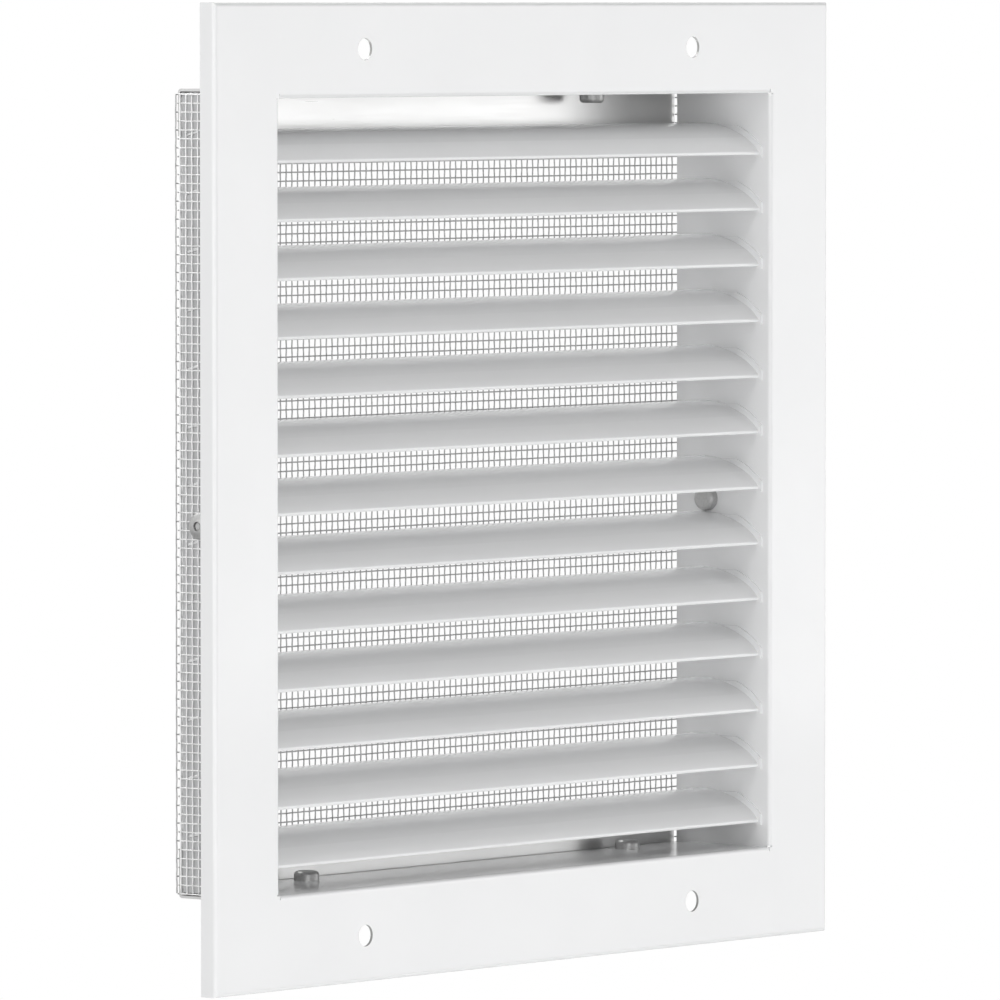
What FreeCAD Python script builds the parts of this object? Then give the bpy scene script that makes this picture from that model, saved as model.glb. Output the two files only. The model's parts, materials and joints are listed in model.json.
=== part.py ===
"""Gable vent: arched blades in a folded sheet-metal frame, with wire cloth behind them.

Millimetres. X runs to the right, Y to the back and Z up. The origin is the centre of
the front of the face. The face lies against a wall and the box behind it goes into
the wall's opening.
"""

import FreeCAD, Part
import math
import os
from types import SimpleNamespace

import Sketcher

# Driving dimensions, in millimetres, degrees or as plain counts
DIMENSIONS = {
    "face_width": 350.0,
    "face_height": 350.0,
    "sheet_gauge": 1.0,
    "bend_radius": 1.5,
    "return_depth": 6.9,
    "side_border": 34.6,
    "end_border": 33.8,
    "flap_depth": 44.8,
    "corner_relief": 0.5,
    "screw_hole_diameter": 7.8,
    "screw_hole_side_inset": 81.4,
    "screw_hole_end_inset": 16.6,
    "blade_count": 13,
    "first_lip_drop": 22.35,
    "last_lip_rise": 9.85,
    "blade_setback": 5.1,
    "blade_tail_gap": 0.8,
    "blade_gauge": 0.8,
    "blade_nose_radius": 24.0,
    "blade_crown_radius": 40.0,
    "blade_lip_angle": 49.5,
    "blade_blend_angle": 30.0,
    "hem_end_angle": 40.0,
    "upstand_height": 2.2,
    "upstand_front_angle": 48.5,
    "upstand_full_angle": 22.0,
    "upstand_end_angle": 9.0,
    "upstand_drop": 1.7,
    "tab_inset": 1.5,
    "tab_width": 5.0,
    "slot_clearance": 0.2,
    "wire_diameter": 0.5,
    "screen_clearance": 0.4,
    "screen_side_flange": 22.0,
    "screen_end_flange": 24.0,
    "screen_window_count": 10,
    "screen_bar_width": 3.0,
    "screen_ridge_width": 1.2,
    "retainer_clearance": 0.2,
    "retainer_overhang": 0.3,
    "retainer_depth": 34.0,
    "retainer_leg": 17.0,
    "rivet_body_diameter": 4.8,
    "rivet_hole_diameter": 5.0,
    "rivet_head_diameter": 9.5,
    "rivet_head_height": 1.6,
    "rivet_head_rim": 0.35,
    "rivet_dome_radius": 5.2,
    "rivet_recess_diameter": 3.4,
    "rivet_recess_depth": 1.2,
    "rivet_mandrel_diameter": 2.2,
    "rivet_mandrel_sink": 0.5,
    "rivet_bulb_diameter": 9.2,
    "rivet_bulb_height": 3.5,
    "rivet_bulb_rounding": 1.5,
    "end_rivet_rear_inset": 8.3,
    "top_rivet_left_inset": 33.4,
    "top_rivet_right_inset": 61.1,
    "bottom_rivet_left_inset": 56.9,
    "bottom_rivet_right_inset": 39.9,
    "left_rivet_rear_inset": 9.0,
    "right_rivet_rear_inset": 15.0,
    "side_rivet_clearance": 0.3,
}

ZERO = 1e-9


class Size:
    """A number together with the spreadsheet expression that it comes from."""

    def __init__(self, value, text):
        self.value = value
        self.text = text

    @staticmethod
    def of(other):
        if isinstance(other, Size):
            return other
        return Size(float(other), repr(float(other)))

    def joined(self, sign, other, value):
        return Size(value, "(" + self.text + " " + sign + " " + other.text + ")")

    def __add__(self, other):
        other = Size.of(other)
        return self.joined("+", other, self.value + other.value)

    def __sub__(self, other):
        other = Size.of(other)
        return self.joined("-", other, self.value - other.value)

    def __mul__(self, other):
        other = Size.of(other)
        return self.joined("*", other, self.value * other.value)

    def __truediv__(self, other):
        other = Size.of(other)
        return self.joined("/", other, self.value / other.value)

    def __neg__(self):
        return Size(-self.value, "(-1 * " + self.text + ")")


def sine(angle):
    return Size(math.sin(math.radians(angle.value)), "sin(" + angle.text + " * 1 deg)")


def cosine(angle):
    return Size(math.cos(math.radians(angle.value)), "cos(" + angle.text + " * 1 deg)")


def root(size):
    return Size(math.sqrt(size.value), "sqrt(" + size.text + ")")


def whole(size):
    return Size(math.floor(size.value), "floor(" + size.text + ")")


def write_sheet(doc):
    """Puts the driving dimensions in the document's spreadsheet and returns them."""
    sheet = doc.addObject("Spreadsheet::Sheet", "Dimensions")
    for row, (alias, value) in enumerate(DIMENSIONS.items(), start=1):
        sheet.set("A" + str(row), alias)
        sheet.set("B" + str(row), str(value))
        sheet.setAlias("B" + str(row), alias)
    doc.recompute()
    return SimpleNamespace(
        **{alias: Size(value, "Dimensions." + alias) for alias, value in DIMENSIONS.items()}
    )


# Sketches and features

NOTHING = Size(0.0, "0")


def new_body(doc, name):
    body = doc.addObject("PartDesign::Body", name)
    body.Label = name
    return body


def new_sketch(body, name, plane):
    """Makes a sketch on one of the body's own origin planes."""
    sketch = body.newObject("Sketcher::SketchObject", name)
    support = [item for item in body.Origin.OriginFeatures if item.Role == plane][0]
    sketch.AttachmentSupport = [(support, "")]
    sketch.MapMode = "FlatFace"
    return sketch


def shift_back(sketch, depth):
    """Moves a sketch on the XZ plane back from the face to a depth along Y."""
    offset = FreeCAD.Vector(0, 0, -depth.value)
    sketch.AttachmentOffset = FreeCAD.Placement(offset, FreeCAD.Rotation())
    sketch.setExpression("AttachmentOffset.Base.z", (-depth).text)


def pin(sketch, index, position, corner):
    """Ties one end of a line or arc, or a centre, to its place in the spreadsheet."""
    for kind, axis, size in (("DistanceX", -2, corner[0]), ("DistanceY", -1, corner[1])):
        if abs(size.value) < ZERO:
            sketch.addConstraint(Sketcher.Constraint("PointOnObject", index, position, axis))
            continue
        rule = Sketcher.Constraint(kind, -1, 1, index, position, size.value)
        number = sketch.addConstraint(rule)
        sketch.setExpression("Constraints[" + str(number) + "]", size.text)


def bend_arc(start, end, radius, turn):
    """Gives the arc from start to end that turns left (turn 1) or right (turn -1)."""
    chord = end - start
    half = chord.Length / 2
    rise = math.sqrt(max(radius**2 - half**2, 0.0))
    left = FreeCAD.Vector(-chord.y, chord.x, 0) / chord.Length
    centre = (start + end) / 2 + left * (rise * turn)
    first, last = (start, end) if turn > 0 else (end, start)
    circle = Part.Circle(centre, FreeCAD.Vector(0, 0, 1), radius)
    from_angle = math.atan2(first.y - centre.y, first.x - centre.x)
    to_angle = math.atan2(last.y - centre.y, last.x - centre.x)
    return Part.ArcOfCircle(circle, from_angle, to_angle)


def draw_outline(sketch, corners, arcs=None):
    """Draws a closed outline. arcs gives {side: (radius, turn)} for its round sides."""
    arcs = arcs or {}
    spots = [FreeCAD.Vector(across.value, along.value, 0) for across, along in corners]
    sides = []
    for number, start in enumerate(spots):
        end = spots[(number + 1) % len(spots)]
        radius, turn = arcs.get(number, (None, 1))
        if radius:
            shape = bend_arc(start, end, radius.value, turn)
        else:
            shape = Part.LineSegment(start, end)
        index = sketch.addGeometry(shape, False)
        sides.append((index, 1, 2) if turn > 0 else (index, 2, 1))
    for number, (index, starts, ends) in enumerate(sides):
        following, following_start, _ = sides[(number + 1) % len(sides)]
        joint = Sketcher.Constraint("Coincident", index, ends, following, following_start)
        sketch.addConstraint(joint)
    for number, (index, starts, ends) in enumerate(sides):
        pin(sketch, index, starts, corners[number])
        if number in arcs:
            radius = arcs[number][0]
            rule = sketch.addConstraint(Sketcher.Constraint("Radius", index, radius.value))
            sketch.setExpression("Constraints[" + str(rule) + "]", radius.text)


def draw_rectangle(sketch, left, right, low, high):
    draw_outline(sketch, [(left, low), (right, low), (right, high), (left, high)])


def draw_cross(sketch, wide, tall, narrow, short):
    """Draws a centred cross: half sizes wide x short and narrow x tall, joined."""
    quarter = [(wide, short), (narrow, short), (narrow, tall)]
    corners = list(quarter)
    corners += [(-across, along) for across, along in reversed(quarter)]
    corners += [(-across, -along) for across, along in quarter]
    corners += [(across, -along) for across, along in reversed(quarter)]
    draw_outline(sketch, corners)


def draw_circle(sketch, across, along, diameter):
    centre = FreeCAD.Vector(across.value, along.value, 0)
    circle = Part.Circle(centre, FreeCAD.Vector(0, 0, 1), diameter.value / 2)
    index = sketch.addGeometry(circle, False)
    pin(sketch, index, 3, (across, along))
    rule = sketch.addConstraint(Sketcher.Constraint("Diameter", index, diameter.value))
    sketch.setExpression("Constraints[" + str(rule) + "]", diameter.text)


def add_pad(body, name, sketch, length, symmetric=False, reverse=False):
    pad = body.newObject("PartDesign::Pad", name)
    pad.Profile = sketch
    pad.setExpression("Length", length.text)
    pad.SideType = "Symmetric" if symmetric else "One side"
    pad.Reversed = reverse
    return pad


def add_cut(doc, body, name, sketch, symmetric=False, reverse=False):
    """Cuts the sketch right through the body and checks that it removed something."""
    doc.recompute()
    before = body.Shape.Volume
    cut = body.newObject("PartDesign::Pocket", name)
    cut.Profile = sketch
    cut.Type = "ThroughAll"
    cut.SideType = "Symmetric" if symmetric else "One side"
    cut.Reversed = reverse
    doc.recompute()
    if body.Shape.Volume > before - ZERO:
        raise RuntimeError(name + " cuts nothing")
    return cut


def add_pattern(body, name, feature, sketch, axis, length, count, reverse=False):
    """Repeats a feature count times over a length along one of its sketch's axes."""
    pattern = body.newObject("PartDesign::LinearPattern", name)
    pattern.Originals = [feature]
    pattern.Direction = (sketch, [axis])
    pattern.Reversed = reverse
    pattern.setExpression("Length", length.text)
    pattern.setExpression("Occurrences", count.text)
    body.Tip = pattern
    return pattern


def place(body, x=NOTHING, y=NOTHING, z=NOTHING, turn=None):
    """Puts a body at its place, tied to the spreadsheet."""
    rotation = turn or FreeCAD.Rotation()
    base = FreeCAD.Vector(x.value, y.value, z.value)
    body.Placement = FreeCAD.Placement(base, rotation)
    for axis, size in (("x", x), ("y", y), ("z", z)):
        if abs(size.value) > ZERO:
            body.setExpression("Placement.Base." + axis, size.text)


# Places that several pieces share


def shared_places(size, curve):
    """Works out the faces and heights that the pieces meet at."""
    at = SimpleNamespace()
    at.opening_x = size.face_width / 2 - size.side_border
    at.opening_z = size.face_height / 2 - size.end_border
    at.flap_outer_x = at.opening_x + size.sheet_gauge
    at.flap_outer_z = at.opening_z + size.sheet_gauge
    at.inner_bend = size.bend_radius - size.sheet_gauge
    at.seam_front_y = size.bend_radius + size.corner_relief
    at.cloth = size.wire_diameter * 2
    at.screen_outer_x = at.flap_outer_x + at.cloth
    at.screen_outer_z = at.flap_outer_z + at.cloth
    at.screen_front = size.flap_depth + size.screen_clearance
    at.screen_rear = at.screen_front + at.cloth
    at.retainer_half = at.opening_x + size.retainer_overhang
    at.retainer_inner_z = at.screen_outer_z + size.retainer_clearance
    at.retainer_outer_z = at.retainer_inner_z + size.sheet_gauge
    at.retainer_front_y = at.screen_rear + size.retainer_clearance
    at.retainer_rear_y = at.retainer_front_y + size.sheet_gauge
    at.first_lip = at.opening_z - size.first_lip_drop
    at.lip_run = at.opening_z * 2 - size.first_lip_drop - size.last_lip_rise
    at.blade_pitch = at.lip_run / (size.blade_count - 1)
    lip_below = at.first_lip - at.blade_pitch * (whole(size.blade_count / 2) + 1)
    crown_below = lip_below + curve.crown_z + size.blade_crown_radius
    bulb_rise = size.side_rivet_clearance + size.rivet_bulb_diameter / 2
    at.side_rivet_z = crown_below + bulb_rise
    at.end_rivet_y = size.flap_depth - size.end_rivet_rear_inset
    at.left_rivet_y = size.flap_depth - size.left_rivet_rear_inset
    at.right_rivet_y = size.flap_depth - size.right_rivet_rear_inset
    at.top_rivets = (
        size.top_rivet_left_inset - at.opening_x,
        at.opening_x - size.top_rivet_right_inset,
    )
    at.bottom_rivets = (
        size.bottom_rivet_left_inset - at.opening_x,
        at.opening_x - size.bottom_rivet_right_inset,
    )
    return at


def blade_curve(size):
    """Works out the centres of the blade's two arcs, seen from the side.

    The lip's rounded front has its centre on the blade's own level zero. From there the
    upper side rises along the nose arc, which the crown arc continues to the tail. The
    tail ends just inside the rear edges of the flaps.
    """
    curve = SimpleNamespace()
    lip_y = size.blade_setback + size.blade_gauge
    reach = size.blade_nose_radius - size.blade_gauge
    curve.lip = (lip_y, NOTHING)
    curve.nose_y = lip_y + reach * sine(size.blade_lip_angle)
    curve.nose_z = -(reach * cosine(size.blade_lip_angle))
    step = size.blade_crown_radius - size.blade_nose_radius
    curve.crown_y = curve.nose_y + step * sine(size.blade_blend_angle)
    curve.crown_z = curve.nose_z - step * cosine(size.blade_blend_angle)
    curve.tail_y = size.flap_depth - size.blade_tail_gap
    curve.tab_rear_y = curve.tail_y - size.tab_inset
    curve.tab_front_y = curve.tab_rear_y - size.tab_width

    def on_nose(angle, radius):
        return (curve.nose_y - radius * sine(angle), curve.nose_z + radius * cosine(angle))

    def on_crown(angle, radius):
        return (curve.crown_y - radius * sine(angle), curve.crown_z + radius * cosine(angle))

    def on_tail(depth, radius):
        """Gives the point of an arc round the crown's centre that faces a depth."""
        crown = size.blade_crown_radius
        run = depth - curve.crown_y
        rise = root(crown * crown - run * run)
        share = radius / crown
        return (curve.crown_y + run * share, curve.crown_z + rise * share)

    curve.on_nose = on_nose
    curve.on_crown = on_crown
    curve.on_tail = on_tail
    return curve


# The frame


def draw_side_fold(sketch, size, at, side):
    """Draws the section of a side flap's fold, back to where its corners are closed."""
    inner = at.opening_x * side
    outer = at.flap_outer_x * side
    bend_end = (at.opening_x + size.bend_radius) * side
    corners = [
        (bend_end, NOTHING),
        (inner, size.bend_radius),
        (inner, at.seam_front_y),
        (outer, at.seam_front_y),
        (outer, size.bend_radius),
        (bend_end, size.sheet_gauge),
    ]
    draw_outline(sketch, corners, {0: (size.bend_radius, -side), 4: (at.inner_bend, side)})


def draw_end_fold(sketch, size, at, side):
    """Draws the section of the top (1) or bottom (-1) fold in the same way."""
    inner = at.opening_z * side
    outer = at.flap_outer_z * side
    bend_end = (at.opening_z + size.bend_radius) * side
    corners = [
        (NOTHING, bend_end),
        (size.bend_radius, inner),
        (at.seam_front_y, inner),
        (at.seam_front_y, outer),
        (size.bend_radius, outer),
        (size.sheet_gauge, bend_end),
    ]
    draw_outline(sketch, corners, {0: (size.bend_radius, side), 4: (at.inner_bend, -side)})


def face_edges(shape, depth, half_width, half_height):
    """Names the straight edges of a centred rectangle at one depth behind the face."""
    names = []
    for number, edge in enumerate(shape.Edges, start=1):
        middle = edge.CenterOfMass
        on_side = abs(abs(middle.x) - half_width) < ZERO and abs(middle.z) < ZERO
        on_end = abs(abs(middle.z) - half_height) < ZERO and abs(middle.x) < ZERO
        if abs(middle.y - depth) < ZERO and (on_side or on_end):
            names.append("Edge" + str(number))
    return names


def add_face_fillet(doc, body, name, size, depth, inset, radius):
    """Rounds the four fold lines that lie at one depth and inset from the rim."""
    doc.recompute()
    half_width = size.face_width.value / 2 - inset.value
    half_height = size.face_height.value / 2 - inset.value
    edges = face_edges(body.Shape, depth.value, half_width, half_height)
    if len(edges) != 4:
        raise RuntimeError(name + " finds " + str(len(edges)) + " fold lines, not 4")
    tip = body.Tip
    fillet = body.newObject("PartDesign::Fillet", name)
    fillet.Base = (tip, edges)
    fillet.setExpression("Radius", radius.text)


def make_face_frame(doc, size, at, curve):
    body = new_body(doc, "face_frame")

    blank = new_sketch(body, "face_blank", "XZ_Plane")
    half_width = size.face_width / 2
    half_height = size.face_height / 2
    draw_rectangle(blank, -half_width, half_width, -half_height, half_height)
    add_pad(body, "face_block", blank, size.return_depth, reverse=True)
    add_face_fillet(doc, body, "outer_folds", size, NOTHING, NOTHING, size.bend_radius)

    hollow = new_sketch(body, "face_hollow", "XZ_Plane")
    inner_width = half_width - size.sheet_gauge
    inner_height = half_height - size.sheet_gauge
    draw_rectangle(hollow, -inner_width, inner_width, -inner_height, inner_height)
    shift_back(hollow, size.sheet_gauge)
    add_cut(doc, body, "behind_face", hollow)
    add_face_fillet(
        doc, body, "inner_folds", size, size.sheet_gauge, size.sheet_gauge, at.inner_bend
    )

    opening = new_sketch(body, "opening", "XZ_Plane")
    wide = at.opening_x + size.bend_radius
    tall = at.opening_z + size.bend_radius
    draw_cross(opening, wide, tall, at.opening_x, at.opening_z)
    add_cut(doc, body, "opening_cut", opening, symmetric=True)

    side_folds = new_sketch(body, "side_fold_sections", "XY_Plane")
    draw_side_fold(side_folds, size, at, 1)
    draw_side_fold(side_folds, size, at, -1)
    fold_height = (at.opening_z - size.corner_relief) * 2
    add_pad(body, "side_folds", side_folds, fold_height, symmetric=True)

    end_folds = new_sketch(body, "end_fold_sections", "YZ_Plane")
    draw_end_fold(end_folds, size, at, 1)
    draw_end_fold(end_folds, size, at, -1)
    fold_width = (at.opening_x - size.corner_relief) * 2
    add_pad(body, "end_folds", end_folds, fold_width, symmetric=True)

    flaps = new_sketch(body, "flap_outlines", "XZ_Plane")
    shift_back(flaps, at.seam_front_y)
    for across, along in ((at.flap_outer_x, at.flap_outer_z), (at.opening_x, at.opening_z)):
        draw_rectangle(flaps, -across, across, -along, along)
    add_pad(body, "welded_flaps", flaps, size.flap_depth - at.seam_front_y, reverse=True)

    holes = new_sketch(body, "screw_hole_centres", "XZ_Plane")
    across = half_width - size.screw_hole_side_inset
    up = half_height - size.screw_hole_end_inset
    for side_x, side_z in ((-1, -1), (1, -1), (1, 1), (-1, 1)):
        draw_circle(holes, across * side_x, up * side_z, size.screw_hole_diameter)
    add_cut(doc, body, "screw_holes", holes, symmetric=True)

    add_rivet_holes(doc, body, size, at)
    add_tab_slots(doc, body, size, at, curve)
    return body


def add_rivet_holes(doc, body, size, at):
    """Drills the flaps, or the cloth's flanges, for the six rivets."""
    for places, name, reverse in ((at.top_rivets, "top", True), (at.bottom_rivets, "bottom", False)):
        sketch = new_sketch(body, name + "_rivet_centres", "XY_Plane")
        for across in places:
            draw_circle(sketch, across, at.end_rivet_y, size.rivet_hole_diameter)
        add_cut(doc, body, name + "_rivet_holes", sketch, reverse=reverse)
    sides = ((at.left_rivet_y, "left", False), (at.right_rivet_y, "right", True))
    for depth, name, reverse in sides:
        sketch = new_sketch(body, name + "_rivet_centre", "YZ_Plane")
        draw_circle(sketch, depth, at.side_rivet_z, size.rivet_hole_diameter)
        add_cut(doc, body, name + "_rivet_hole", sketch, reverse=reverse)


def add_tab_slots(doc, body, size, at, curve):
    """Cuts a slot in both side flaps for each blade's end tabs."""
    sketch = new_sketch(body, "tab_slot", "YZ_Plane")
    upper = size.blade_crown_radius + size.slot_clearance
    lower = size.blade_crown_radius - size.blade_gauge - size.slot_clearance
    front = curve.tab_front_y - size.slot_clearance
    rear = curve.tab_rear_y + size.slot_clearance
    corners = []
    for depth, radius in ((rear, lower), (rear, upper), (front, upper), (front, lower)):
        across, up = curve.on_tail(depth, radius)
        corners.append((across, up + at.first_lip))
    draw_outline(sketch, corners, {1: (upper, 1), 3: (lower, -1)})
    slot = add_cut(doc, body, "tab_slot_pair", sketch, symmetric=True)
    run, count = at.lip_run, size.blade_count
    add_pattern(body, "tab_slots", slot, sketch, "V_Axis", run, count, reverse=True)


# The blades


def draw_blade_section(sketch, size, curve):
    """Draws the sheet from the hemmed lip over the crown to the tail."""
    gauge = size.blade_gauge
    lip_y, lip_z = curve.lip
    lip_front = (
        lip_y - gauge * cosine(size.blade_lip_angle),
        lip_z - gauge * sine(size.blade_lip_angle),
    )
    upper_nose = size.blade_nose_radius
    lower_nose = size.blade_nose_radius - gauge
    hem_nose = size.blade_nose_radius - gauge * 2
    upper_crown = size.blade_crown_radius
    lower_crown = size.blade_crown_radius - gauge
    corners = [
        curve.on_nose(size.blade_lip_angle, hem_nose),
        curve.on_nose(size.hem_end_angle, hem_nose),
        curve.on_nose(size.hem_end_angle, lower_nose),
        curve.on_nose(size.blade_blend_angle, lower_nose),
        curve.on_tail(curve.tail_y, lower_crown),
        curve.on_tail(curve.tail_y, upper_crown),
        curve.on_nose(size.blade_blend_angle, upper_nose),
        curve.on_nose(size.blade_lip_angle, upper_nose),
        lip_front,
    ]
    arcs = {
        0: (hem_nose, -1),
        2: (lower_nose, -1),
        3: (lower_crown, -1),
        5: (upper_crown, 1),
        6: (upper_nose, 1),
        7: (gauge, 1),
        8: (gauge, 1),
    }
    draw_outline(sketch, corners, arcs)


def draw_upstand(sketch, size, curve):
    """Draws the low flange at a blade's end, which stands above the sheet."""
    middle = size.blade_gauge / 2
    outer_nose = size.blade_nose_radius + size.upstand_height
    outer_crown = size.blade_crown_radius + size.upstand_height
    inner_nose = size.blade_nose_radius - middle
    inner_crown = size.blade_crown_radius - middle
    front_y, front_z = curve.on_nose(size.upstand_front_angle, outer_nose)
    lip_y, _ = curve.lip
    corners = [
        (front_y, -size.upstand_drop),
        (lip_y + size.blade_gauge, -size.upstand_drop),
        curve.on_nose(size.hem_end_angle, inner_nose),
        curve.on_nose(size.blade_blend_angle, inner_nose),
        curve.on_crown(size.upstand_end_angle, inner_crown),
        curve.on_crown(size.upstand_full_angle, outer_crown),
        curve.on_nose(size.blade_blend_angle, outer_nose),
        (front_y, front_z),
    ]
    arcs = {
        2: (inner_nose, -1),
        3: (inner_crown, -1),
        5: (outer_crown, 1),
        6: (outer_nose, 1),
    }
    draw_outline(sketch, corners, arcs)


def draw_tab(sketch, size, curve):
    upper = size.blade_crown_radius
    lower = size.blade_crown_radius - size.blade_gauge
    corners = [
        curve.on_tail(curve.tab_rear_y, lower),
        curve.on_tail(curve.tab_rear_y, upper),
        curve.on_tail(curve.tab_front_y, upper),
        curve.on_tail(curve.tab_front_y, lower),
    ]
    draw_outline(sketch, corners, {1: (upper, 1), 3: (lower, -1)})


def make_blade(doc, size, at, curve, number):
    """Makes one blade, counted from the top, between the inner faces of the side flaps."""
    body = new_body(doc, "louver_blade_" + str(number).zfill(2))
    length = at.opening_x * 2

    section = new_sketch(body, "blade_section", "YZ_Plane")
    draw_blade_section(section, size, curve)
    add_pad(body, "blade_sheet", section, length, symmetric=True)

    for side, name in ((1, "right"), (-1, "left")):
        upstand = new_sketch(body, name + "_upstand_outline", "YZ_Plane")
        draw_upstand(upstand, size, curve)
        inset = (at.opening_x - size.blade_gauge) * side
        offset = FreeCAD.Vector(0, 0, inset.value)
        upstand.AttachmentOffset = FreeCAD.Placement(offset, FreeCAD.Rotation())
        upstand.setExpression("AttachmentOffset.Base.z", inset.text)
        add_pad(body, name + "_upstand", upstand, size.blade_gauge, reverse=side < 0)

    tab = new_sketch(body, "tab_section", "YZ_Plane")
    draw_tab(tab, size, curve)
    add_pad(body, "end_tabs", tab, length + size.sheet_gauge * 2, symmetric=True)

    place(body, z=at.first_lip - at.blade_pitch * (number - 1))
    return body


# The wire cloth


def make_insect_screen(doc, size, at):
    """Makes the cloth as a ridged wall with square windows and four folded flanges."""
    body = new_body(doc, "insect_screen")
    membrane_front = at.screen_front + size.wire_diameter / 2

    back = new_sketch(body, "back_outline", "XZ_Plane")
    draw_cross(back, at.screen_outer_x, at.screen_outer_z, at.retainer_half, at.flap_outer_z)
    shift_back(back, membrane_front)
    add_pad(body, "back_membrane", back, size.wire_diameter, reverse=True)

    pitch_x = at.opening_x * 2 / size.screen_window_count
    pitch_z = at.opening_z * 2 / size.screen_window_count
    half_ridge = size.screen_ridge_width / 2
    ridges = (
        ("upright", "H_Axis", pitch_x, at.screen_front),
        ("level", "V_Axis", pitch_z, membrane_front + size.wire_diameter / 2),
    )
    for name, axis, pitch, depth in ridges:
        sketch = new_sketch(body, name + "_ridge", "XZ_Plane")
        shift_back(sketch, depth)
        if name == "upright":
            low = -at.opening_x + pitch - half_ridge
            draw_rectangle(sketch, low, low + half_ridge * 2, -at.opening_z, at.opening_z)
        else:
            low = -at.opening_z + pitch - half_ridge
            draw_rectangle(sketch, -at.opening_x, at.opening_x, low, low + half_ridge * 2)
        ridge = add_pad(body, name + "_ridge_pad", sketch, size.wire_diameter / 2, reverse=True)
        run = pitch * (size.screen_window_count - 2)
        add_pattern(body, name + "_ridges", ridge, sketch, axis, run, size.screen_window_count - 1)

    add_screen_flanges(body, size, at)
    add_screen_windows(doc, body, size, at, pitch_x, pitch_z)
    add_rivet_holes(doc, body, size, at)
    return body


def add_screen_flanges(body, size, at):
    """Folds the cloth forward along the outside of the flaps."""
    sides = new_sketch(body, "side_flange_outline", "XZ_Plane")
    shift_back(sides, at.screen_rear)
    for side in (1, -1):
        inner = at.flap_outer_x * side
        outer = at.screen_outer_x * side
        left, right = (inner, outer) if side > 0 else (outer, inner)
        draw_rectangle(sides, left, right, -at.flap_outer_z, at.flap_outer_z)
    add_pad(body, "side_flanges", sides, size.screen_side_flange)

    ends = new_sketch(body, "end_flange_outline", "XZ_Plane")
    shift_back(ends, at.screen_rear)
    for side in (1, -1):
        inner = at.flap_outer_z * side
        outer = at.screen_outer_z * side
        low, high = (inner, outer) if side > 0 else (outer, inner)
        draw_rectangle(ends, -at.retainer_half, at.retainer_half, low, high)
    add_pad(body, "end_flanges", ends, size.screen_end_flange)


def add_screen_windows(doc, body, size, at, pitch_x, pitch_z):
    """Cuts the grid of square windows in the back, row by row."""
    sketch = new_sketch(body, "first_window", "XZ_Plane")
    half_bar = size.screen_bar_width / 2
    left = -at.opening_x + half_bar
    low = -at.opening_z + half_bar
    right = -at.opening_x + pitch_x - half_bar
    high = -at.opening_z + pitch_z - half_bar
    draw_rectangle(sketch, left, right, low, high)
    window = add_cut(doc, body, "first_window_cut", sketch, symmetric=True)
    grid = body.newObject("PartDesign::MultiTransform", "window_grid")
    grid.Originals = [window]
    steps = []
    for axis, pitch in (("H_Axis", pitch_x), ("V_Axis", pitch_z)):
        step = body.newObject("PartDesign::LinearPattern", "windows_" + axis[0].lower())
        step.Direction = (sketch, [axis])
        step.setExpression("Length", (pitch * (size.screen_window_count - 1)).text)
        step.setExpression("Occurrences", size.screen_window_count.text)
        steps.append(step)
    grid.Transformations = steps
    body.Tip = grid


# The retainers


def make_retainer(doc, size, at, name, side):
    """Makes the folded angle that holds the cloth at the top (1) or bottom (-1)."""
    body = new_body(doc, "screen_retainer_" + name)
    section = new_sketch(body, "angle_section", "YZ_Plane")
    fold_y = at.retainer_front_y - at.inner_bend
    front_y = at.retainer_rear_y - size.retainer_depth
    rear_inner = at.retainer_front_y
    rear_outer = at.retainer_rear_y
    fold_z = (at.retainer_inner_z - at.inner_bend) * side
    leg_end = (at.retainer_outer_z - size.retainer_leg) * side
    inner_z = at.retainer_inner_z * side
    outer_z = at.retainer_outer_z * side
    corners = [
        (front_y, inner_z),
        (fold_y, inner_z),
        (rear_inner, fold_z),
        (rear_inner, leg_end),
        (rear_outer, leg_end),
        (rear_outer, fold_z),
        (fold_y, outer_z),
        (front_y, outer_z),
    ]
    arcs = {1: (at.inner_bend, -side), 5: (size.bend_radius, side)}
    draw_outline(section, corners, arcs)
    add_pad(body, "angle", section, at.retainer_half * 2, symmetric=True)

    holes = new_sketch(body, "rivet_centres", "XY_Plane")
    for across in at.top_rivets if side > 0 else at.bottom_rivets:
        draw_circle(holes, across, at.end_rivet_y, size.rivet_hole_diameter)
    add_cut(doc, body, "rivet_holes", holes, symmetric=True)
    return body


# The rivets


def make_rivet(doc, size, name, grip, turn, x, y, z):
    """Makes a set blind rivet. Its own Z points out of the sheet that its head is on."""
    body = new_body(doc, name)
    half = new_sketch(body, "rivet_profile", "XZ_Plane")
    bulb = size.rivet_bulb_diameter / 2
    shank = size.rivet_body_diameter / 2
    head = size.rivet_head_diameter / 2
    recess = size.rivet_recess_diameter / 2
    mandrel = size.rivet_mandrel_diameter / 2
    bulb_end = -grip - size.rivet_bulb_height
    recess_floor = size.rivet_head_height - size.rivet_recess_depth
    mandrel_end = size.rivet_head_height - size.rivet_mandrel_sink
    corners = [
        (NOTHING, bulb_end),
        (bulb - size.rivet_bulb_rounding, bulb_end),
        (bulb, bulb_end + size.rivet_bulb_rounding),
        (bulb, -grip),
        (shank, -grip),
        (shank, NOTHING),
        (head, NOTHING),
        (head, size.rivet_head_rim),
        (recess, size.rivet_head_height),
        (recess, recess_floor),
        (mandrel, recess_floor),
        (mandrel, mandrel_end),
        (NOTHING, mandrel_end),
    ]
    arcs = {1: (size.rivet_bulb_rounding, 1), 7: (size.rivet_dome_radius, 1)}
    draw_outline(half, corners, arcs)
    turned = body.newObject("PartDesign::Revolution", "turned_rivet")
    turned.Profile = half
    turned.ReferenceAxis = (half, ["V_Axis"])
    turned.Angle = 360
    place(body, x=x, y=y, z=z, turn=turn)
    return body


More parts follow.
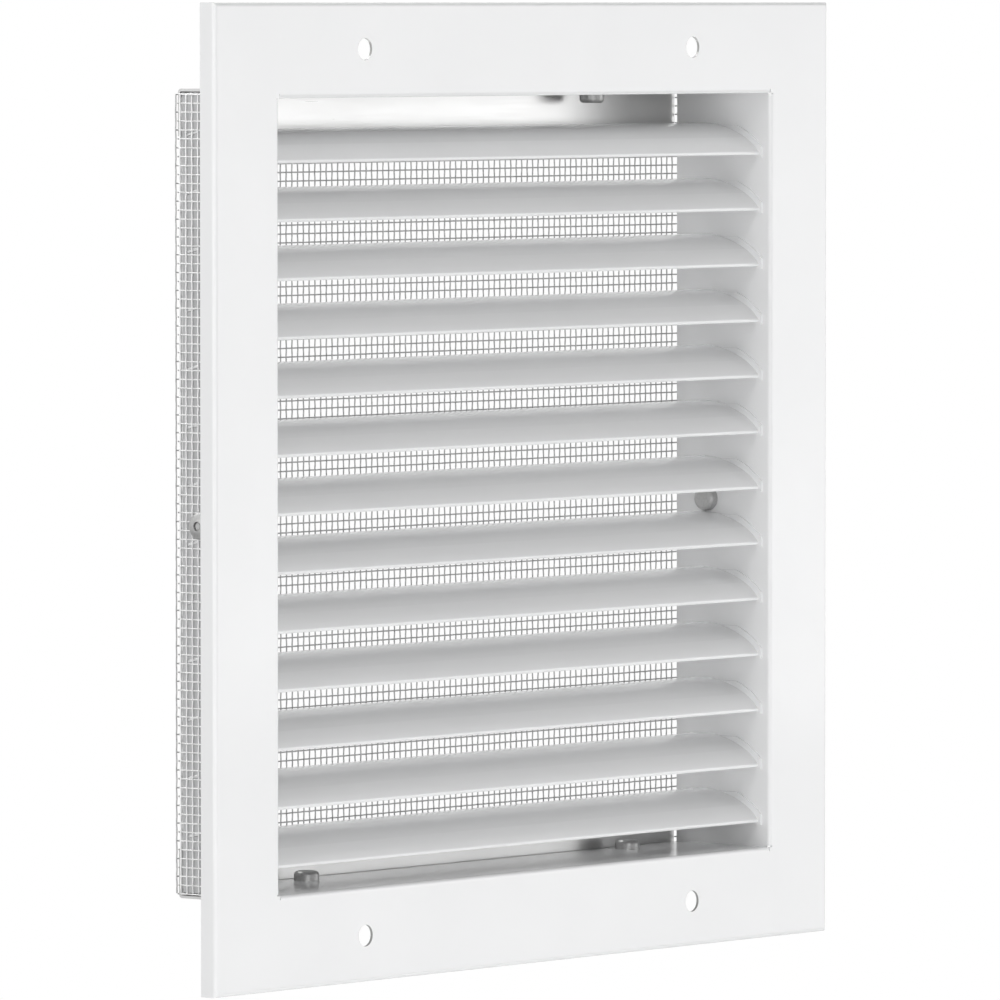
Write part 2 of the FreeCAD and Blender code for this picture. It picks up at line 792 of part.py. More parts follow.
def make_rivets(doc, size, at):
    end_grip = at.retainer_outer_z - at.opening_z
    side_grip = at.screen_outer_x - at.opening_x
    about_x = FreeCAD.Vector(1, 0, 0)
    about_y = FreeCAD.Vector(0, 1, 0)
    up = FreeCAD.Rotation()
    down = FreeCAD.Rotation(about_x, 180)
    leftward = FreeCAD.Rotation(about_y, -90)
    rightward = FreeCAD.Rotation(about_y, 90)
    y = at.end_rivet_y
    top = at.retainer_outer_z
    outer = at.screen_outer_x
    level = at.side_rivet_z
    places = [
        ("rivet_top_left", end_grip, up, at.top_rivets[0], y, top),
        ("rivet_top_right", end_grip, up, at.top_rivets[1], y, top),
        ("rivet_bottom_left", end_grip, down, at.bottom_rivets[0], y, -top),
        ("rivet_bottom_right", end_grip, down, at.bottom_rivets[1], y, -top),
        ("rivet_side_left", side_grip, leftward, -outer, at.left_rivet_y, level),
        ("rivet_side_right", side_grip, rightward, outer, at.right_rivet_y, level),
    ]
    return [make_rivet(doc, size, *spot) for spot in places]


# The whole vent


def check_document(doc):
    for item in doc.Objects:
        if "Invalid" in item.State or "Error" in item.State:
            raise RuntimeError(item.Label + " is in a bad state: " + str(item.State))


def export_body(body):
    shape = body.Shape
    if shape.isNull() or not shape.isValid() or len(shape.Solids) != 1:
        raise RuntimeError(body.Label + " isn't one valid solid")
    shape.exportStep("parts/" + body.Label + ".step")
    print(body.Label, round(shape.Volume, 1), "mm3")


def main():
    doc = FreeCAD.newDocument("gable_vent")
    size = write_sheet(doc)
    curve = blade_curve(size)
    at = shared_places(size, curve)
    bodies = [make_face_frame(doc, size, at, curve)]
    for number in range(1, DIMENSIONS["blade_count"] + 1):
        bodies.append(make_blade(doc, size, at, curve, number))
    bodies.append(make_insect_screen(doc, size, at))
    bodies.append(make_retainer(doc, size, at, "top", 1))
    bodies.append(make_retainer(doc, size, at, "bottom", -1))
    bodies += make_rivets(doc, size, at)
    doc.recompute()
    check_document(doc)
    os.makedirs("parts", exist_ok=True)
    for body in bodies:
        export_body(body)


main()
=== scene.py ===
"""Gable vent: painted louvres in a folded frame, with woven wire cloth behind them.

Metres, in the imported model's own frame: X to the right, Y to the back and Z up, with
the origin at the centre of the front of the face.
"""

import json
import logging
import math
from dataclasses import dataclass
from enum import Enum

import bmesh
import bpy
from mathutils import Euler, Matrix, Vector

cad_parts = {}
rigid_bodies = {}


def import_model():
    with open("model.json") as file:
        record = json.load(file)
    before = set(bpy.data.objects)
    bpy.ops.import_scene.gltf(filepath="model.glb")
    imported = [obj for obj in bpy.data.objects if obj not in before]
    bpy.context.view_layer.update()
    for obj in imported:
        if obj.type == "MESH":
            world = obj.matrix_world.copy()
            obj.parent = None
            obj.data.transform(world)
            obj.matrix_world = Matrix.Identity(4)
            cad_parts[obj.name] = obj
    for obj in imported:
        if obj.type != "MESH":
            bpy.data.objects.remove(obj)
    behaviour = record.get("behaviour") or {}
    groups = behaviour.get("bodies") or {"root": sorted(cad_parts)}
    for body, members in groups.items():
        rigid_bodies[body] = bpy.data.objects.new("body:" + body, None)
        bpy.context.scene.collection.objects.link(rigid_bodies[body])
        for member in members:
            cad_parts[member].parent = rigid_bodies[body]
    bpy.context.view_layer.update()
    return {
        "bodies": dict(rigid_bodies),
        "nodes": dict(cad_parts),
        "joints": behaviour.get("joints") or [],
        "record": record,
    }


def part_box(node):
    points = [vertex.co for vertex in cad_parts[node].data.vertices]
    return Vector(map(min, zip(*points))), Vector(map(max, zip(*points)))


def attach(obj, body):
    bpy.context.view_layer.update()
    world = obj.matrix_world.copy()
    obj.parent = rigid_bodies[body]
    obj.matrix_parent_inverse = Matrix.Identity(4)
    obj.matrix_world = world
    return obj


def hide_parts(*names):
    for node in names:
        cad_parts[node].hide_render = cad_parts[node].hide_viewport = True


LOG = logging.getLogger("gable_vent")
MILLIMETRE = 0.001


# Shader maths


class Signal:
    """A shader socket, or a plain number, that ordinary arithmetic works on."""

    def __init__(self, tree: "NodeTree", socket: bpy.types.NodeSocket) -> None:
        """Wraps a socket of a node tree."""
        self.tree = tree
        self.socket = socket

    def __add__(self, other: "Signal | float") -> "Signal":
        """Adds another signal or number."""
        return self.tree.maths("ADD", self, other)

    __radd__ = __add__

    def __sub__(self, other: "Signal | float") -> "Signal":
        """Takes another signal or number away."""
        return self.tree.maths("SUBTRACT", self, other)

    def __rsub__(self, other: "Signal | float") -> "Signal":
        """Takes this signal away from a number."""
        return self.tree.maths("SUBTRACT", other, self)

    def __mul__(self, other: "Signal | float") -> "Signal":
        """Multiplies by another signal or number."""
        return self.tree.maths("MULTIPLY", self, other)

    __rmul__ = __mul__


class NodeTree:
    """Adds nodes to one material or world."""

    def __init__(self, owner: bpy.types.Material | bpy.types.World) -> None:
        """Empties the owner's node tree.

        Args:
            owner: The material or world to fill.
        """
        owner.use_nodes = True
        self.tree = owner.node_tree
        self.tree.nodes.clear()

    def node(self, kind: str, settings: dict | None = None, inputs: dict | None = None) -> bpy.types.Node:
        """Adds one node.

        Args:
            kind: The node's type name.
            settings: Attributes to set first, such as an operation. The key "stops"
                gives a colour ramp's positions and grey levels.
            inputs: Values or signals by socket name or number.

        Returns:
            The new node.
        """
        made = self.tree.nodes.new(kind)
        for name, value in (settings or {}).items():
            if name == "stops":
                self.set_stops(made, value)
            else:
                setattr(made, name, value)
        for name, value in (inputs or {}).items():
            socket = made.inputs[name]
            if isinstance(value, Signal):
                self.tree.links.new(value.socket, socket)
            else:
                socket.default_value = value
        return made

    @staticmethod
    def set_stops(ramp: bpy.types.Node, stops: list[tuple[float, float]]) -> None:
        """Sets a colour ramp's stops.

        Args:
            ramp: The colour ramp node.
            stops: Pairs of position and grey level, in order.
        """
        elements = ramp.color_ramp.elements
        while len(elements) > 1:
            elements.remove(elements[-1])
        elements[0].position = stops[0][0]
        elements[0].color = (stops[0][1],) * 3 + (1.0,)
        for position, level in stops[1:]:
            elements.new(position).color = (level,) * 3 + (1.0,)

    def signal(self, node: bpy.types.Node, output: str | int = 0) -> Signal:
        """Gives one output of a node as a signal."""
        return Signal(self, node.outputs[output])

    def maths(self, operation: str, *values: "Signal | float") -> Signal:
        """Adds a Math node.

        Args:
            operation: The node's operation.
            values: Its inputs in order.

        Returns:
            The result.
        """
        inputs = dict(enumerate(values))
        return self.signal(self.node("ShaderNodeMath", {"operation": operation}, inputs))

    def place(self) -> Signal:
        """Gives the position on the object, in metres."""
        return self.signal(self.node("ShaderNodeTexCoord"), "Object")

    def noise(
        self, size: float, detail: float = 2.0, stretch: tuple[float, float, float] = (1.0, 1.0, 1.0)
    ) -> Signal:
        """Adds a noise of a given size over the object.

        Args:
            size: The size of one blotch, in metres.
            detail: How many finer layers it has.
            stretch: How much longer the blotches are along each axis.

        Returns:
            The noise, from 0 to 1.
        """
        scale = tuple(1.0 / (size * along) for along in stretch)
        mapped = self.node("ShaderNodeMapping", {}, {"Vector": self.place(), "Scale": scale})
        inputs = {"Vector": self.signal(mapped), "Scale": 1.0, "Detail": detail}
        return self.signal(self.node("ShaderNodeTexNoise", {}, inputs), "Fac")

    def ramp(self, value: Signal, stops: list[tuple[float, float]]) -> Signal:
        """Maps a signal through a ramp of grey levels."""
        return self.signal(self.node("ShaderNodeValToRGB", {"stops": stops}, {"Fac": value}))

    def mix(self, factor: Signal, first: "Signal | tuple", second: "Signal | tuple") -> Signal:
        """Mixes two colours.

        Args:
            factor: How much of the second colour.
            first: The first colour, a signal or red, green and blue.
            second: The second colour, likewise.

        Returns:
            The mixed colour.
        """
        inputs = {"Factor": factor}
        for socket, colour in ((6, first), (7, second)):
            inputs[socket] = colour if isinstance(colour, Signal) else (*colour, 1.0)
        return self.signal(self.node("ShaderNodeMix", {"data_type": "RGBA"}, inputs), 2)

    def parts(self, vector: Signal) -> tuple[Signal, Signal, Signal]:
        """Splits a vector into its three numbers."""
        split = self.node("ShaderNodeSeparateXYZ", {}, {"Vector": vector})
        return self.signal(split, 0), self.signal(split, 1), self.signal(split, 2)

    def bump(self, height: Signal, strength: float, distance: float) -> Signal:
        """Turns a height signal into a surface normal.

        Args:
            height: The relief, from 0 to 1.
            strength: How strongly it shows.
            distance: The relief's depth in metres.

        Returns:
            The bent normal.
        """
        inputs = {"Height": height, "Strength": strength, "Distance": distance}
        return self.signal(self.node("ShaderNodeBump", {}, inputs))

    def output(self, surface: bpy.types.Node, kind: str = "ShaderNodeOutputMaterial") -> None:
        """Links a shader to the tree's output."""
        self.node(kind, {}, {"Surface": self.signal(surface)})


# Finishes


@dataclass(frozen=True)
class ScrewHoles:
    """The four screw holes of the face, whose walls the paint hardly covers."""

    across: float = 93.6 * MILLIMETRE
    height: float = 158.4 * MILLIMETRE
    reach: float = 3.93 * MILLIMETRE

    def mask(self, tree: NodeTree) -> Signal:
        """Marks the holes' walls.

        Args:
            tree: The material's nodes.

        Returns:
            1 on the walls and 0 elsewhere.
        """
        x, _, z = tree.parts(tree.place())
        aside = tree.maths("ABSOLUTE", x) - self.across
        above = tree.maths("ABSOLUTE", z) - self.height
        return tree.maths("LESS_THAN", aside * aside + above * above, self.reach**2)


@dataclass(frozen=True)
class FlapBackShade:
    """The outside of the four flaps, given a darker colour than the face: painted shade for the wire
    cloth's shadow and the shade under the face's overhang.
    """

    across: float = 141.3 * MILLIMETRE
    height: float = 142.3 * MILLIMETRE
    outmost: float = 150.0 * MILLIMETRE
    front: float = 9.6 * MILLIMETRE

    def mask(self, tree: NodeTree) -> Signal:
        """Marks the flaps' outer faces.

        Args:
            tree: The material's nodes.

        Returns:
            1 on those faces and 0 elsewhere.
        """
        x, y, z = tree.parts(tree.place())
        aside = tree.maths("ABSOLUTE", x)
        above = tree.maths("ABSOLUTE", z)
        outside = tree.maths("MAXIMUM", aside - self.across, above - self.height)
        behind = tree.maths("GREATER_THAN", outside, 0.0) * tree.maths("GREATER_THAN", y, self.front)
        return behind * tree.maths("LESS_THAN", tree.maths("MAXIMUM", aside, above), self.outmost)


@dataclass(frozen=True)
class SheetPaint:
    """White gloss powder coat on sheet metal."""

    name: str
    light: tuple[float, float, float] = (0.872, 0.875, 0.879)
    dark: tuple[float, float, float] = (0.848, 0.851, 0.856)
    bare_edge: tuple[float, float, float] = (0.4, 0.4, 0.395)
    # Painted shade: the colour of the flaps' outer faces.
    painted_shade: tuple[float, float, float] = (0.57, 0.575, 0.58)
    roughness: float = 0.16
    roughness_swing: float = 0.05
    peel_size: float = 0.0016
    peel_depth: float = 0.00002
    peel_strength: float = 0.2
    cloud_size: float = 0.07
    holes: ScrewHoles | None = None
    back_shade: FlapBackShade | None = None

    def material(self) -> bpy.types.Material:
        """Builds the paint.

        Returns:
            The material.
        """
        made = bpy.data.materials.new(self.name)
        tree = NodeTree(made)
        clouds = tree.noise(self.cloud_size, 3.0)
        peel = tree.noise(self.peel_size, 1.0)
        colour = tree.mix(tree.ramp(clouds, [(0.3, 0.0), (0.7, 1.0)]), self.light, self.dark)
        if self.holes:
            colour = tree.mix(self.holes.mask(tree), colour, self.bare_edge)
        if self.back_shade:
            # Painted shade: the flaps' outer faces get a darker colour than the face.
            colour = tree.mix(self.back_shade.mask(tree), colour, self.painted_shade)
        inputs = {
            "Base Color": colour,
            "Roughness": (clouds - 0.5) * self.roughness_swing + self.roughness,
            "Normal": tree.bump(peel, self.peel_strength, self.peel_depth),
        }
        tree.output(tree.node("ShaderNodeBsdfPrincipled", {}, inputs))
        return made


@dataclass(frozen=True)
class BareSheet:
    """Bright rolled sheet without paint."""

    name: str
    light: tuple[float, float, float] = (0.61, 0.61, 0.607)
    dark: tuple[float, float, float] = (0.56, 0.56, 0.558)
    metallic: float = 0.65
    roughness: float = 0.3
    roughness_swing: float = 0.1
    line_size: float = 0.0005
    line_depth: float = 0.000004
    line_strength: float = 0.25
    line_stretch: tuple[float, float, float] = (60.0, 1.0, 1.0)
    smear_size: float = 0.02
    smear_stretch: tuple[float, float, float] = (3.0, 1.0, 1.0)

    def material(self) -> bpy.types.Material:
        """Builds the rolled metal, with fine lines along its length.

        Returns:
            The material.
        """
        made = bpy.data.materials.new(self.name)
        tree = NodeTree(made)
        lines = tree.noise(self.line_size, 2.0, self.line_stretch)
        smears = tree.noise(self.smear_size, 3.0, self.smear_stretch)
        colour = tree.mix(tree.ramp(smears, [(0.4, 0.0), (0.75, 1.0)]), self.light, self.dark)
        inputs = {
            "Base Color": colour,
            "Metallic": self.metallic,
            "Roughness": (lines - 0.5) * self.roughness_swing + self.roughness,
            "Normal": tree.bump(lines, self.line_strength, self.line_depth),
        }
        tree.output(tree.node("ShaderNodeBsdfPrincipled", {}, inputs))
        return made


@dataclass(frozen=True)
class BareRivet:
    """Aluminium of a blind rivet, a little scuffed where the tool pressed it."""

    name: str
    light: tuple[float, float, float] = (0.5, 0.5, 0.497)
    dark: tuple[float, float, float] = (0.42, 0.42, 0.418)
    metallic: float = 0.5
    roughness: float = 0.42
    roughness_swing: float = 0.15
    scuff_size: float = 0.0007
    scuff_depth: float = 0.00002
    scuff_strength: float = 0.2

    def material(self) -> bpy.types.Material:
        """Builds the aluminium.

        Returns:
            The material.
        """
        made = bpy.data.materials.new(self.name)
        tree = NodeTree(made)
        scuffs = tree.noise(self.scuff_size, 3.0)
        colour = tree.mix(tree.ramp(scuffs, [(0.45, 0.0), (0.8, 1.0)]), self.light, self.dark)
        inputs = {
            "Base Color": colour,
            "Metallic": self.metallic,
            "Roughness": (scuffs - 0.5) * self.roughness_swing + self.roughness,
            "Normal": tree.bump(scuffs, self.scuff_strength, self.scuff_depth),
        }
        tree.output(tree.node("ShaderNodeBsdfPrincipled", {}, inputs))
        return made


@dataclass(frozen=True)
class DrawnWire:
    """Galvanised wire, with a near-white colour on the side flanges: painted light for the bright light
    that falls on the wires there.
    """

    name: str
    light: tuple[float, float, float] = (0.52, 0.52, 0.52)
    dark: tuple[float, float, float] = (0.4, 0.4, 0.4)
    # Painted light: the colour of the wires on the side flanges.
    flange_light: tuple[float, float, float] = (0.96, 0.96, 0.96)
    flange_light_from: float = 141.6 * MILLIMETRE
    flange_light_to: float = 45.2 * MILLIMETRE
    metallic: float = 0.25
    roughness: float = 0.38
    roughness_swing: float = 0.14
    spangle_size: float = 0.0011
    grain_size: float = 0.00025
    grain_depth: float = 0.000008
    grain_strength: float = 0.3

    def material(self) -> bpy.types.Material:
        """Builds the zinc finish.

        Returns:
            The material.
        """
        made = bpy.data.materials.new(self.name)
        tree = NodeTree(made)
        spangle = tree.noise(self.spangle_size, 2.0)
        grain = tree.noise(self.grain_size, 1.0)
        colour = tree.mix(tree.ramp(spangle, [(0.32, 0.0), (0.68, 1.0)]), self.dark, self.light)
        x, y, _ = tree.parts(tree.place())
        # Painted light: the wires on the side flanges get the near-white colour.
        lit_flanges = tree.maths("GREATER_THAN", tree.maths("ABSOLUTE", x), self.flange_light_from)
        lit_flanges = lit_flanges * tree.maths("LESS_THAN", y, self.flange_light_to)
        colour = tree.mix(lit_flanges, colour, self.flange_light)
        inputs = {
            "Base Color": colour,
            "Metallic": self.metallic,
            "Roughness": (spangle - 0.5) * self.roughness_swing + self.roughness,
            "Normal": tree.bump(grain, self.grain_strength, self.grain_depth),
        }
        tree.output(tree.node("ShaderNodeBsdfPrincipled", {}, inputs))
        return made


# The wire cloth


class LevelHalf(Enum):
    """Which wires that run from side to side a piece holds."""

    UPPER = 1
    LOWER = -1


class LevelRun(Enum):
    """How a wire that runs from side to side is seen."""

    OPEN = "across the whole back and both side flanges"
    TUCKED = "only beside the leg of a retainer"
    FLANGE = "along the upper or lower flange"


class UprightHalf(Enum):
    """Which wires that run from bottom to top a piece holds."""

    RIGHT = 1
    LEFT = -1


@dataclass(frozen=True)
class ClothFold:
    """Where a strip of cloth goes: flat over the back, then folded forward at both ends.

    The cloth springs outwards a little at its fold.
    """

    half: float
    depth: float
    front: float
    radius: float
    bulge: float = 0.0
    bulge_reach: float = 1.6 * MILLIMETRE

    @property
    def flat(self) -> float:
        """Distance from the middle to where the fold starts."""
        return self.half - self.radius

    @property
    def bend(self) -> float:
        """Length of the fold."""
        return self.radius * math.pi / 2

    @property
    def reach(self) -> float:
        """Distance along the cloth from the middle to the front edge of a flange."""
        return self.flat + self.bend + self.depth - self.radius - self.front

    def at(self, along: float, proud: float) -> tuple[float, float]:
        """Gives the place of a point of the cloth.

        Args:
            along: Distance from the middle, along the cloth.
            proud: Distance from the cloth's middle to its outer side.

        Returns:
            The distance across the back and the depth.
        """
        side = math.copysign(1.0, along)
        run = abs(along)
        aside = (run - self.flat - self.bend / 2) / self.bulge_reach
        if abs(aside) < 1.0:
            spring = self.bulge * math.cos(aside * math.pi / 2) ** 2
            lean = min(max((run - self.flat) / self.bend, 0.0), 1.0) * math.pi / 2
            across, depth = self.folded(run, proud)
            return side * (across + spring * math.sin(lean)), depth + spring * math.cos(lean)
        across, depth = self.folded(run, proud)
        return side * across, depth

    def folded(self, run: float, proud: float) -> tuple[float, float]:
        """Gives the place of a point of a cloth that doesn't bulge at its fold.

        Args:
            run: Distance from the middle along the cloth, never negative.
            proud: Distance from the cloth's middle to its outer side.

        Returns:
            The distance across the back and the depth.
        """
        if run <= self.flat:
            return run, self.depth + proud
        if run <= self.flat + self.bend:
            angle = (run - self.flat) / self.radius
            arm = self.radius + proud
            return self.flat + arm * math.sin(angle), self.depth - self.radius + arm * math.cos(angle)
        forward = run - self.flat - self.bend
        return self.half + proud, self.depth - self.radius - forward


@dataclass
class WireCloth:
    """Woven wire folded into a shallow tray behind the flaps."""

    wire: float = 0.52 * MILLIMETRE
    pitch: float = 3.175 * MILLIMETRE
    level_pitch: float = 3.168 * MILLIMETRE
    flange_pitch: float = 2.81 * MILLIMETRE
    upright_shift: float = 0.34 * MILLIMETRE
    level_shift: float = -0.17 * MILLIMETRE
    fold_radius: float = 0.5 * MILLIMETRE
    corner_proud: float = 0.45 * MILLIMETRE
    corner_bulge: float = 0.87 * MILLIMETRE
    first_flange_wire: float = 44.84 * MILLIMETRE
    second_flange_wire: float = 42.44 * MILLIMETRE
    level_crimp: float = 0.24 * MILLIMETRE
    upright_crimp: float = 0.06 * MILLIMETRE
    end_trim: float = -0.3 * MILLIMETRE
    half_thickness: float = 0.5 * MILLIMETRE
    flange_inset: float = 0.3 * MILLIMETRE
    flange_depth: float = 21.5 * MILLIMETRE
    leg_cover: float = 0.3 * MILLIMETRE
    sides: int = 6
    finish: DrawnWire = DrawnWire("zinc_wire")

    def __post_init__(self) -> None:
        """Reads the cloth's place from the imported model."""
        low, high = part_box("insect_screen")
        depth = high.y - self.half_thickness
        flange_half = high.x - self.flange_inset
        front = depth - self.flange_depth
        self.across = ClothFold(flange_half, depth, front, self.fold_radius, self.corner_bulge)
        self.upright = ClothFold(high.z - self.half_thickness, depth, low.y, self.fold_radius)
        leg_low, leg_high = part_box("screen_retainer_top")
        self.leg_edge = leg_low.z
        self.leg_end = leg_high.x - self.leg_cover

    def uprights(self) -> list[float]:
        """Gives the places of the upright wires along the cloth, from left to right."""
        back = self.spread(self.across.flat, self.pitch / 2 + self.upright_shift, self.pitch)
        depths = [self.first_flange_wire]
        while depths[-1] - self.flange_pitch > self.across.front + self.wire:
            depths.append(self.second_flange_wire - (len(depths) - 1) * self.flange_pitch)
        folded = self.across.flat + self.across.bend + self.across.depth - self.across.radius
        flange = [folded - depth for depth in depths]
        return [-place for place in reversed(flange)] + back + flange

    def levels(self) -> list[float]:
        """Gives the places of the level wires along the cloth, from bottom to top."""
        return self.spread(self.upright.reach - self.wire, self.level_shift, self.level_pitch)

    @staticmethod
    def spread(half: float, start: float, pitch: float) -> list[float]:
        """Spreads wires evenly.

        Args:
            half: Half of the width to fill.
            start: The place of one of the wires.
            pitch: The distance from wire to wire.

        Returns:
            The wires' places, in order.
        """
        first = math.ceil((-half - start) / pitch)
        last = math.floor((half - start) / pitch)
        return [start + index * pitch for index in range(first, last + 1)]

    def strand(
        self, fold: ClothFold, crossings: list[float], ends: tuple[float, float], phase: int, crimp: float
    ) -> list[Vector]:
        """Draws one wire's middle line over and under the wires that cross it.

        Args:
            fold: The way the cloth is folded along this wire.
            crossings: The places of the crossing wires along it.
            ends: Where the wire starts and ends, from the middle.
            phase: 0 or 1, for the side on which it passes its first crossing wire.
            crimp: How far it swings to either side.

        Returns:
            Points of the line as across, depth and nothing.
        """
        quarter = self.pitch / 5
        start, stop = ends
        points = [fold.at(start, 0.0)]
        for index, place in enumerate(crossings):
            if not start + quarter < place < stop - quarter:
                continue
            proud = crimp if (index + phase) % 2 == 0 else -crimp
            points.append(fold.at(place - quarter, proud))
            points.append(fold.at(place + quarter, proud))
        points.append(fold.at(stop, 0.0))
        return [Vector((across, depth, 0.0)) for across, depth in points]

    def sweep(self, path: list[Vector]) -> bmesh.types.BMesh:
        """Sweeps the wire's round section along a path.

        Args:
            path: The middle line.

        Returns:
            The wire, closed at both ends.
        """
        mesh = bmesh.new()
        heading = (path[1] - path[0]).normalized()
        stand = Matrix.Translation(path[0]) @ heading.to_track_quat("Z", "Y").to_matrix().to_4x4()
        made = bmesh.ops.create_circle(
            mesh, cap_ends=True, segments=self.sides, radius=self.wire / 2, matrix=stand
        )
        edges = list(made["verts"][0].link_faces[0].edges)
        for index in range(1, len(path)):
            following = path[min(index + 1, len(path) - 1)]
            course = (following - path[index - 1]).normalized()
            turn = heading.rotation_difference(course).to_matrix().to_4x4()
            move = Matrix.Translation(path[index]) @ turn @ Matrix.Translation(-path[index - 1])
            grown = bmesh.ops.extrude_edge_only(mesh, edges=edges)["geom"]
            fresh = [item for item in grown if isinstance(item, bmesh.types.BMVert)]
            bmesh.ops.transform(mesh, matrix=move, verts=fresh)
            ring = set(fresh)
            lines = [item for item in grown if isinstance(item, bmesh.types.BMEdge)]
            edges = [line for line in lines if ring.issuperset(line.verts)]
            heading = course
        bmesh.ops.contextual_create(mesh, geom=edges)
        bmesh.ops.recalc_face_normals(mesh, faces=mesh.faces)
        return mesh

    def repeat(
        self, target: bmesh.types.BMesh, path: list[Vector], turn: Matrix, places: list[Vector]
    ) -> None:
        """Adds a copy of one wire at each of several places.

        Args:
            target: The mesh that takes the wires.
            path: The wire's middle line.
            turn: How the line's plane is turned.
            places: Where the copies go.
        """
        swept = self.sweep(path)
        stock = bpy.data.meshes.new("wire_stock")
        swept.to_mesh(stock)
        swept.free()
        stock.transform(turn)
        stood = Vector((0.0, 0.0, 0.0))
        for place in places:
            stock.transform(Matrix.Translation(place - stood))
            target.from_mesh(stock)
            stood = place
        bpy.data.meshes.remove(stock)

    def level_wires(self, half: LevelHalf) -> bpy.types.Object:
        """Builds the upper or lower half of the wires that run from side to side.

        Args:
            half: Which half.

        Returns:
            The dressed piece.
        """
        target = bmesh.new()
        uprights = self.uprights()
        levels = self.levels()
        for phase in (0, 1):
            for run in LevelRun:
                places = []
                for index, along in enumerate(levels):
                    if index % 2 != phase or self.run_of(along) != run or along * half.value <= 0:
                        continue
                    height, depth = self.upright.at(along, 0.0)
                    places.append(Vector((0.0, depth - self.across.depth, height)))
                if not places:
                    continue
                for ends in self.spans(run):
                    path = self.strand(self.across, uprights, ends, phase, self.level_crimp)
                    self.repeat(target, path, Matrix.Identity(4), places)
        return self.dress(target, f"screen_level_wires_{half.name.lower()}")

    def run_of(self, along: float) -> LevelRun:
        """Tells how the level wire at a place of the cloth runs."""
        if abs(along) < self.leg_edge:
            return LevelRun.OPEN
        backed = abs(along) <= self.upright.flat + self.upright.bend
        return LevelRun.TUCKED if backed else LevelRun.FLANGE

    def spans(self, run: LevelRun) -> list[tuple[float, float]]:
        """Gives where a level wire starts and ends, once or twice.

        Args:
            run: How the wire runs.

        Returns:
            Pairs of places along the cloth, from left to right.
        """
        reach = self.across.reach
        if run is LevelRun.OPEN:
            return [(-reach, reach)]
        if run is LevelRun.TUCKED:
            return [(-reach, -self.leg_end), (self.leg_end, reach)]
        flange = self.across.flat - self.end_trim
        return [(-flange, flange)]

    def upright_wires(self, half: UprightHalf) -> bpy.types.Object:
        """Builds the left or right half of the wires that run from bottom to top.

        Args:
            half: Which half.

        Returns:
            The dressed piece.
        """
        target = bmesh.new()
        uprights = self.uprights()
        upturn = Matrix(((0, 0, 1, 0), (0, 1, 0, 0), (1, 0, 0, 0), (0, 0, 0, 1)))
        for phase in (0, 1):
            wires = [along for index, along in enumerate(uprights) if index % 2 == phase]
            wires = [along for along in wires if along * half.value > 0]
            for tucked in (True, False):
                inner = [along for along in wires if abs(along) <= self.across.flat]
                inner = [along for along in inner if (abs(along) < self.leg_end) == tucked]
                path = self.upright_strand(self.leg_edge if tucked else self.upright.reach, phase)
                self.repeat(target, path, upturn, [Vector((along, 0.0, 0.0)) for along in inner])
            for along in wires:
                if abs(along) > self.across.flat:
                    self.flange_wire(target, self.across.at(along, 0.0), phase)
        corner = half.value * (self.across.flat + self.across.bend / 2)
        self.flange_wire(target, self.across.at(corner, self.corner_proud), 0)
        return self.dress(target, f"screen_upright_wires_{half.name.lower()}")

    def upright_strand(self, reach: float, phase: int) -> list[Vector]:
        """Draws an upright wire's middle line."""
        return self.strand(self.upright, self.levels(), (-reach, reach), phase + 1, self.upright_crimp)

    def flange_wire(self, target: bmesh.types.BMesh, stand: tuple[float, float], phase: int) -> None:
        """Adds one upright wire of a side flange, which swings sideways.

        Args:
            target: The mesh that takes the wire.
            stand: Its place from the middle, and its depth.
            phase: 0 or 1, for the side on which it passes its first crossing wire.
        """
        across, depth = stand
        sign = math.copysign(1.0, across)
        line = self.upright_strand(self.upright.flat - self.end_trim, phase)
        swung = [Vector((point.x, (point.y - self.upright.depth) * sign, 0.0)) for point in line]
        aside = Matrix(((0, 1, 0, 0), (0, 0, 1, 0), (1, 0, 0, 0), (0, 0, 0, 1)))
        self.repeat(target, swung, aside, [Vector((across, depth, 0.0))])

    def dress(self, mesh: bmesh.types.BMesh, name: str) -> bpy.types.Object:
        """Makes a dressed object of the wires.

        Args:
            mesh: The wires, freed here.
            name: The piece's name.

        Returns:
            The object.
        """
        made = new_piece(mesh, name, self.finish.material())
        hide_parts("insect_screen")
        return made

    def build(self) -> None:
        """Builds all four halves."""
        for levels in LevelHalf:
            self.level_wires(levels)
        for uprights in UprightHalf:
            self.upright_wires(uprights)


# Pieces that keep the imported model's shape


def new_piece(mesh: bmesh.types.BMesh, name: str, finish: bpy.types.Material) -> bpy.types.Object:
    """Makes a smooth-shaded object that rides on the vent.

    Args:
        mesh: Its mesh, freed here.
        name: Its name.
        finish: Its material.

    Returns:
        The object.
    """
    data = bpy.data.meshes.new(name)
    for face in mesh.faces:
        face.smooth = True
    mesh.to_mesh(data)
    mesh.free()
    data.materials.append(finish)
    made = bpy.data.objects.new(name, data)
    bpy.context.scene.collection.objects.link(made)
    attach(made, "root")
    triangles = sum(len(polygon.vertices) - 2 for polygon in data.polygons)
    LOG.info("%s: %d triangles", name, triangles)
    return made


@dataclass
class PaintedSheet:
    """The frame and the blades, in white paint."""

    nodes: dict
    frame_paint: SheetPaint = SheetPaint("white_frame_paint", holes=ScrewHoles(), back_shade=FlapBackShade())
    blade_paint: SheetPaint = SheetPaint("white_blade_paint")

    def dress(self) -> None:
        """Paints the frame and every blade."""
        frame = self.frame_paint.material()
        blade = self.blade_paint.material()
        for name, node in self.nodes.items():
            if name.startswith("face_frame"):
                repaint(node, frame)
            if name.startswith("louver"):
                repaint(node, blade)


@dataclass
class Retainers:
    """The two folded angles that hold the edges of the wire cloth."""

    nodes: dict
    finish: BareSheet = BareSheet("bright_rolled_sheet")

    def dress(self) -> None:
        """Leaves them bare and bright."""
        bare = self.finish.material()
        for name, node in self.nodes.items():
            if name.startswith("screen_retainer"):
                repaint(node, bare)


